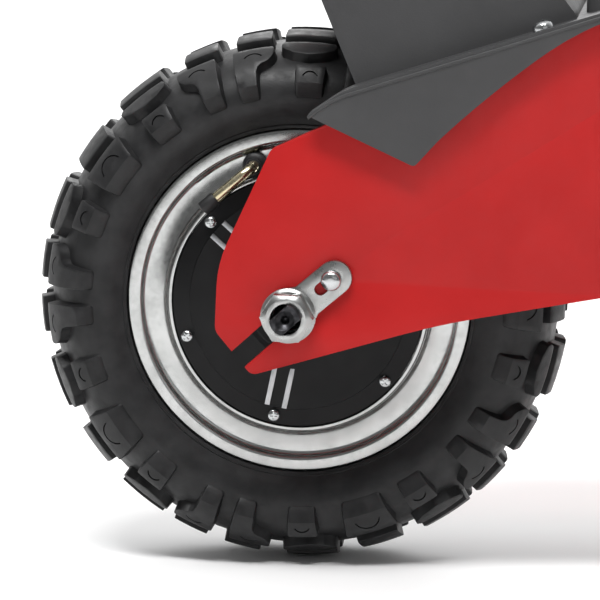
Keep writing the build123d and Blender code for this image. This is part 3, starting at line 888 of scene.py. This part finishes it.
def tyre():
    """Carcass with the tread group set five times round each shoulder."""
    group = tread_group()
    pieces = [carcass()]
    for i in range(5):
        right = moved(copy_of(group, "tread"), Matrix.Rotation(-i * math.tau / 5, 4, "Y"))
        pieces += [right, mirrored(right, "tread")]
    bpy.data.objects.remove(group)
    whole = join("rear_tyre_moulded", pieces)
    smooth(whole, 36)
    return whole


def tyres():
    """The same moulding on both wheels; the front one stands with the steering's lean."""
    rear = tyre()
    front = copy_of(rear, "front_tyre_moulded")
    set_in(rear, AT_REAR, BODY["rear_tyre"], "tyre_rubber", "rear_tyre")
    set_in(front, AT_FRONT, BODY["front_tyre"], "tyre_rubber", "front_tyre")


# ------------------------------------------------------------ rear wheel
def rim_side():
    """Outer face of the rim from the cover seat out to the bead, as (y, r) points."""
    seat = [(DRUM_HALF, 66.6), (35.3, 66.6), (35.9, 66.9), (HUB_FACE, 67.5), (35.8, 68.3), (35, 68.9)]
    dish = []
    for degrees in range(0, 90, 10):
        turn = math.radians(degrees)
        dish.append((29.2 + 5.6 * (1 - math.sin(turn)), 69.2 + 9.6 * (1 - math.cos(turn))))
    lip = [(29.1, 80.6), (29.3, 81.9), (29.9, 82.7), (31.3, 83.1), (32.4, 83.6), (32.9, 84.3), (33, 85.2),
           (33, 88.7), (32.8, 89.8), (32.2, 90.6), (31.3, RIM_R), (29.6, 90.8), (28.2, 89)]
    return seat + dish + lip + [(DRUM_HALF, BEAD_R), (15, BEAD_R), (13, 80), (0, 80)]


def rear_rim():
    """Cast rim and drum in one, polished, with the valve hole through one side."""
    loop = mirrored_loop([(0, 64), (DRUM_HALF, 64)] + rim_side())
    rim = turned("rear_rim_polished", loop, (0, 0, 0), 240)
    x, z = polar(VALVE_R, VALVE_TURN)
    hole = column("valve_hole", 5.6, 30, vertices=32)
    carve(rim, moved(hole, Matrix.Translation(Vector((x, -32, z)) * MM) @ FACE_RIGHT))
    mend(rim)
    smooth(rim, 30)
    set_in(rim, AT_REAR, "rear_wheel", "cast_aluminium", "rear_rim")


def motor_covers():
    """Two side covers: stepped face, bearing boss, broken outer edge."""
    rim_seat = [(DRUM_HALF, 17.5), (DRUM_HALF, 66.3), (35, 66.3), (35.7, 66), (HUB_FACE, 65.4)]
    dish = [(HUB_FACE, 57.9), (36.3, 57.3), (36.7, 57.1), (37.4, 32)]
    boss = [(38, 29.4), (40.4, 27), (41.4, 26.2), (42, 25.2), (42, 17.5)]
    face = rim_seat + dish + boss
    right = turned("motor_covers_painted", [(-y, r) for y, r in face + face[:1]], (0, 0, 0), 180)
    both = join("motor_covers_painted", [right, mirrored(right, "left_cover")])
    smooth(both, 30)
    set_in(both, AT_REAR, "rear_wheel", "cover_black", "motor_covers")


def cover_bars():
    """Three pairs of machined ribs across each cover."""
    bar = plate("rib", [(26, -1.4), (57, -1.4), (57, 1.4), (26, 1.4)], 0.9, 0.3)
    moved(bar, FACE_RIGHT)
    pieces = []
    for i in range(3):
        turn = Matrix.Rotation(-math.radians(COVER_TURN + 120 * i), 4, "Y")
        for shift in (-4.6, 4.6):
            place = turn @ Matrix.Translation(Vector((0, -HUB_FACE - 0.4, shift)) * MM)
            right = moved(copy_of(bar, "rib"), place)
            pieces += [right, mirrored(right, "rib")]
    bpy.data.objects.remove(bar)
    bars = join("motor_cover_ribs", pieces)
    smooth(bars, 30)
    set_in(bars, AT_REAR, "rear_wheel", "bare_aluminium")


def pan_screw(name, radius, height, recess=0.0):
    """Pan-head screw standing on z = 0, with a crossed recess where a size is given."""
    shank = [(-2, 0.01), (-2, radius * 0.5), (0, radius * 0.5)]
    dome = [(0, radius), (height * 0.2, radius)]
    for degrees in range(15, 105, 15):
        rise, reach = math.sin(math.radians(degrees)), math.cos(math.radians(degrees))
        dome.append((height * (0.25 + 0.75 * rise), radius * (0.28 + 0.72 * reach)))
    head = turned(name, shank + dome + [(height, 0.01), (-2, 0.01)], (0, 0, 0), 32)
    moved(head, FACE_RIGHT)
    mend(head, SEAM)
    for turn in (0, 90) if recess else ():
        wing = plate("wing", [(-recess, -0.45), (recess, -0.45), (recess, 0.45), (-recess, 0.45)], height + 1)
        lift = Matrix.Translation((0, 0, height * 0.45 * MM))
        carve(head, moved(wing, Matrix.Rotation(math.radians(turn), 4, "Z") @ lift))
    smooth(head, 35)
    return head


def side_screws(head, places, y, body, node, slot):
    """Set a head on both sides of the wheel at (x, z) places, each left at its own turn."""
    name = head.name
    pieces = []
    for i, (x, z) in enumerate(places):
        spin = Matrix.Rotation(0.7 * i + 0.3, 4, "Z")
        face = Matrix.Translation(Vector((x, -y, z)) * MM) @ FACE_RIGHT @ spin
        right = moved(copy_of(head, name), face)
        pieces += [right, mirrored(right, name)]
    bpy.data.objects.remove(head)
    set_in(join(name, pieces), AT_REAR, body, slot, node)


def valve():
    """Rubber collar round the foot of the bent valve stem, the stem and its cap."""
    x, z = polar(VALVE_R, VALVE_TURN)
    collar = [(-31, 3.1), (-31, 6.6), (-33.6, 6.4), (-34.4, 5.6), (-34.8, 4.4), (-37.4, 4), (-37.6, 3.1),
              (-31, 3.1)]
    foot = turned("valve_grommet", collar, Vector((x, 0, z)) * MM, 40)
    smooth(foot, 40)
    set_in(foot, AT_REAR, "rear_wheel", "tyre_rubber")
    smooth(refined("rear_valve_stem", 0.2), 60)
    smooth(refined("rear_valve_cap", 0.7), 40)


def hub_screws():
    """Six cap screws in each motor cover and the screw that holds each torque washer."""
    places = [polar(61.8, COVER_TURN + 60 * i) for i in range(6)]
    head = pan_screw("cover_screw_heads", 3.3, 2.4, recess=2.0)
    side_screws(head, places, HUB_FACE, "rear_wheel", "motor_cover_screws", "chromed_steel")
    head = pan_screw("torque_screw_heads", 5.4, 4.4)
    side_screws(head, [polar(29, ARM_TURN)], PLATE_FACE + WASHER, "chassis", "torque_screws", "chromed_steel")


# ------------------------------------------------------------ axle hardware
def nut_envelope(across_flats, corner, thickness):
    """Round body that leaves both faces of a hexagon chamfered to a circle."""
    rise = (corner - across_flats / 2) * 1.2
    outline = [(0, 0.01), (0, across_flats / 2 * 0.97), (rise / 2, corner * 1.02),
               (thickness - rise * 1.3, corner * 1.02), (thickness - rise * 0.5, across_flats / 2),
               (thickness, across_flats / 2 * 0.86), (thickness, 0.01), (0, 0.01)]
    body = turned("nut_envelope", [(-z, r) for z, r in outline], (0, 0, 0), 96)
    moved(body, FACE_RIGHT.inverted())
    mend(body, SEAM)
    low = min(vertex.co.z for vertex in body.data.vertices)
    return moved(body, Matrix.Translation((0, 0, -low)))


def hex_nut(name, across_flats, thickness, bore, turn, flange):
    """Hexagon nut with chamfered faces and a round flange, lying on z = 0."""
    corner = across_flats / math.sqrt(3)
    nut = plate(name, [polar(corner, turn + 60 * i) for i in range(6)], thickness)
    carve(nut, nut_envelope(across_flats, corner, thickness), operation="INTERSECT")
    carve(nut, column("bore", bore, 4 * thickness))
    ring = [(0, bore), (0, flange), (-1.2, flange), (-2.4, flange - 1.6), (-2.4, bore), (0, bore)]
    base = turned("flange", ring, (0, 0, 0), 72)
    moved(base, FACE_RIGHT.inverted())
    nut = join(name, [nut, base])
    edit(nut)
    bpy.ops.mesh.select_all(action="SELECT")
    bpy.ops.mesh.dissolve_limited(angle_limit=math.radians(0.5))
    done()
    modify(nut, "BEVEL", width=0.3 * MM, segments=2, limit_method="ANGLE", angle_limit=math.radians(28))
    smooth(nut, 30)
    return nut


def torque_washer(name):
    """Ring and slotted arm stamped from one sheet, lying on z = 0."""
    ring = arc(14.2, 48, 312, 28)
    arm = arc(9, -90, 90, 12, (31, 0))
    tab = plate(name, ring + [(12.5, -9)] + arm + [(12.5, 9)], WASHER, 0.4)
    slot = arc(3.1, -90, -270, 8, (21.5, 0)) + arc(3.1, 90, -90, 8, (31.5, 0))
    carve(tab, moved(plate("slot", slot[::-1], 12), Matrix.Translation((0, 0, -4 * MM))))
    carve(tab, column("bore", 8, 20))
    smooth(tab, 30)
    return moved(tab, Matrix.Rotation(math.radians(ARM_TURN), 4, "Z"))


def axle_hardware():
    """Torque washer and nut at each end of the axle, and centre drillings in its ends."""
    washers = on_both_sides(torque_washer("torque_washers_plated"), PLATE_FACE)
    set_in(washers, AT_REAR, "chassis", "zinc_steel", "torque_washers")
    nut = hex_nut("axle_nuts_plated", across_flats=24, thickness=13, bore=8.1, turn=-2, flange=14.3)
    nuts = on_both_sides(nut, PLATE_FACE + WASHER)
    set_in(nuts, AT_REAR, "chassis", "zinc_steel", "rear_axle_nuts")
    axle = refined("rear_axle", 0.7)
    drilling = [(94, 0.01), (96.4, 1.9), (99, 2.6), (99.2, 4.9), (103, 5.2), (103, 0.01), (94, 0.01)]
    for side in (-1, 1):
        cutter = turned("centre_drill", [(side * y, r) for y, r in drilling], REAR, 40)
        mend(cutter, SEAM)
        carve(axle, cutter)
    smooth(axle, 35)


# ------------------------------------------------------------ rear mudguard
TAIL_FOOT = (29.0, 117.0)
TAIL_SLOPE = math.atan2(52, 170)


def crest(x):
    """Height of the mudguard's tail above the rear axle, at a distance ahead of it."""
    return TAIL_FOOT[1] + (x - TAIL_FOOT[0]) * math.tan(TAIL_SLOPE)


def rear_mudguard():
    """Moulded mudguard with the front edge of each skirt swept up in one easy curve."""
    guard = refined("rear_mudguard", 0.7)
    skirt_tip = 64.9
    blend = 4.0

    def sweep(co):
        x, z = (co.x - REAR.x) / MM, (co.z - REAR.z) / MM
        below = crest(x) - blend - z
        if abs(co.y) < PLATE_FACE * MM or x < skirt_tip or below < 0:
            return co
        lift = 1.6 * min(1, (x - skirt_tip) / 8) + 2.4 * math.exp(-(((x - 142) / 28) ** 2))
        return co + Vector((0, 0, lift * min(1, below / blend) * MM))

    place_verts(guard, sweep)


def mudguard_screws():
    """Pan heads: one pair down into the plates, one pair on the bosses ahead of the hump."""
    head = pan_screw("mudguard_screw_heads", 5.6, 4.6, recess=3.2)
    pieces = []
    edge_pair = (129.6, 77, 0.2, TAIL_SLOPE)
    boss_pair = (158, 48, 5.2, 0)
    for x, y, rise, tilt in (edge_pair, boss_pair):
        turn = Matrix.Rotation(-tilt, 4, "Y") @ Matrix.Rotation(0.5, 4, "Z")
        for side in (-1, 1):
            place = Matrix.Translation(Vector((x, side * y, crest(x) + rise)) * MM)
            pieces.append(moved(copy_of(head, "mudguard_screw"), place @ turn))
    bpy.data.objects.remove(head)
    whole = join("mudguard_screw_heads", pieces)
    set_in(whole, AT_REAR, "chassis", "chromed_steel", "mudguard_screws")


def mudguard_bead():
    """Rolled edge along the crest where the tail turns down into each skirt."""
    upper = [(10.2, 103.6), (15.5, 107.8), (21.5, 111.6), (29, 115.1), (60, 124.9), (110, 140.4),
             (160, 156.4), (199, 168.8)]
    lower = [(x + 0.6, z - 1.9) for x, z in reversed(upper)]
    bead = plate("mudguard_bead", (upper + lower)[::-1], 1.8, 0.6)
    bead = on_both_sides(bead, SKIRT_FACE)
    smooth(bead, 50)
    set_in(bead, AT_REAR, "chassis", "mudguard_plastic")


# ------------------------------------------------------------ cockpit
def grips():
    """Ribbed sleeves: end flanges, rings moulded all along, closed outer end."""
    sleeve = [(170.2, 11.2), (170.2, 17.6), (171.4, 18.4), (174, 18.4), (175.4, 16.4)]
    for i in range(20):
        y = 177 + 5.6 * i
        sleeve += [(y, 15.4), (y + 0.8, 16.2), (y + 3.4, 16.2), (y + 4.2, 15.4)]
    sleeve += [(291, 16.4), (293, 17.8), (298, 17.8), (299.8, 16), (299.8, 0.01), (298.2, 0.01)]
    sleeve += [(298.2, 11.2), sleeve[0]]
    left = turned("grips_moulded", sleeve, (0, 0, 0), 64)
    mend(left, SEAM)
    both = join("grips_moulded", [left, mirrored(left, "right_grip")])
    smooth(both, 40)
    at_bar = Matrix.Translation(middle("handlebar")) @ Matrix.Rotation(-HEAD_TILT, 4, "Y")
    set_in(both, at_bar, "folding_stem", "grip_rubber", "grips")


def lamp_lens():
    """Clear stepped lens set in the headlight shell."""
    rings = [(-0.2, 0.01), (1.6, 4), (1.2, 8), (2.0, 12), (1.4, 16), (2.0, 20), (1.2, 23.4), (-0.4, 24.6),
             (-3, 24.6), (-3, 0.01), (-0.2, 0.01)]
    lens = turned("headlight_lens", rings, (0, 0, 0), 64)
    mend(lens, SEAM)
    smooth(lens, 40)
    ahead = Matrix.Translation(Vector((51.2, 0, 900)) * MM) @ Matrix.Rotation(-math.pi / 2, 4, "Z")
    moved(dress(lens, clear_lens()), AT_FRONT @ ahead)
    fit(lens, "folding_stem", "lamp_shell")


def display_window():
    """Dark window let into the top of the display case."""
    screen = plate("display_window", [(-24, -33), (24, -33), (24, 33), (-24, 33)], 0.6, 0.25)
    moved(screen, AT_FRONT @ Matrix.Translation(Vector((-33, 0, 1025.9)) * MM))
    dress(screen, display_glass())
    fit(screen, "folding_stem", "display_case")


# ------------------------------------------------------------ everything else, edges broken
def other_pieces():
    """Every other CAD piece, with its sharp edges broken the way each process leaves them."""
    widths = {
        "side_plate_right": 0.5, "side_plate_left": 0.5, "front_mudguard": 0.7,
        "deck_board": 1.2, "grip_pad": 0.5, "belly_pan": 1.0, "display": 1.2, "kickstand": 0.6,
        "fork_crown": 1.0, "fold_base": 1.0, "handlebar_clamp": 0.8, "tail_light": 0.8,
        "front_caliper": 0.8, "cross_bars": 0.6, "neck_frame": 0.6, "stem_tube": 0.5,
        "fork_lowers": 1.0, "throttle_lever": 0.8, "control_housings": 0.8, "brake_perches": 0.5,
        "frame_bolts": 0.4, "key_switch": 0.6, "key_barrel": 0.3, "charge_port": 0.6,
        "kickstand_bracket": 0.5, "kickstand_bolt": 0.5, "fold_pin": 0.5, "fold_lever": 1.0,
        "front_axle_nuts": 0.4, "deck_screws": 0.5, "motor_controller": 0.4, "front_rim": 0.5,
        "front_brake_disc": 0.2, "headset_bearings": 0.6, "fork_stanchions": 0.4, "horn_button": 0.6,
        "handlebar": 0.3, "battery_pack": 2.0,
    }
    for node, width in widths.items():
        refined(node, width)


# ------------------------------------------------------------ build
camera()
studio()
dress_cad_nodes()
tyres()
rear_rim()
motor_covers()
cover_bars()
hub_screws()
valve()
axle_hardware()
rear_mudguard()
mudguard_screws()
mudguard_bead()
grips()
lamp_lens()
display_window()
other_pieces()
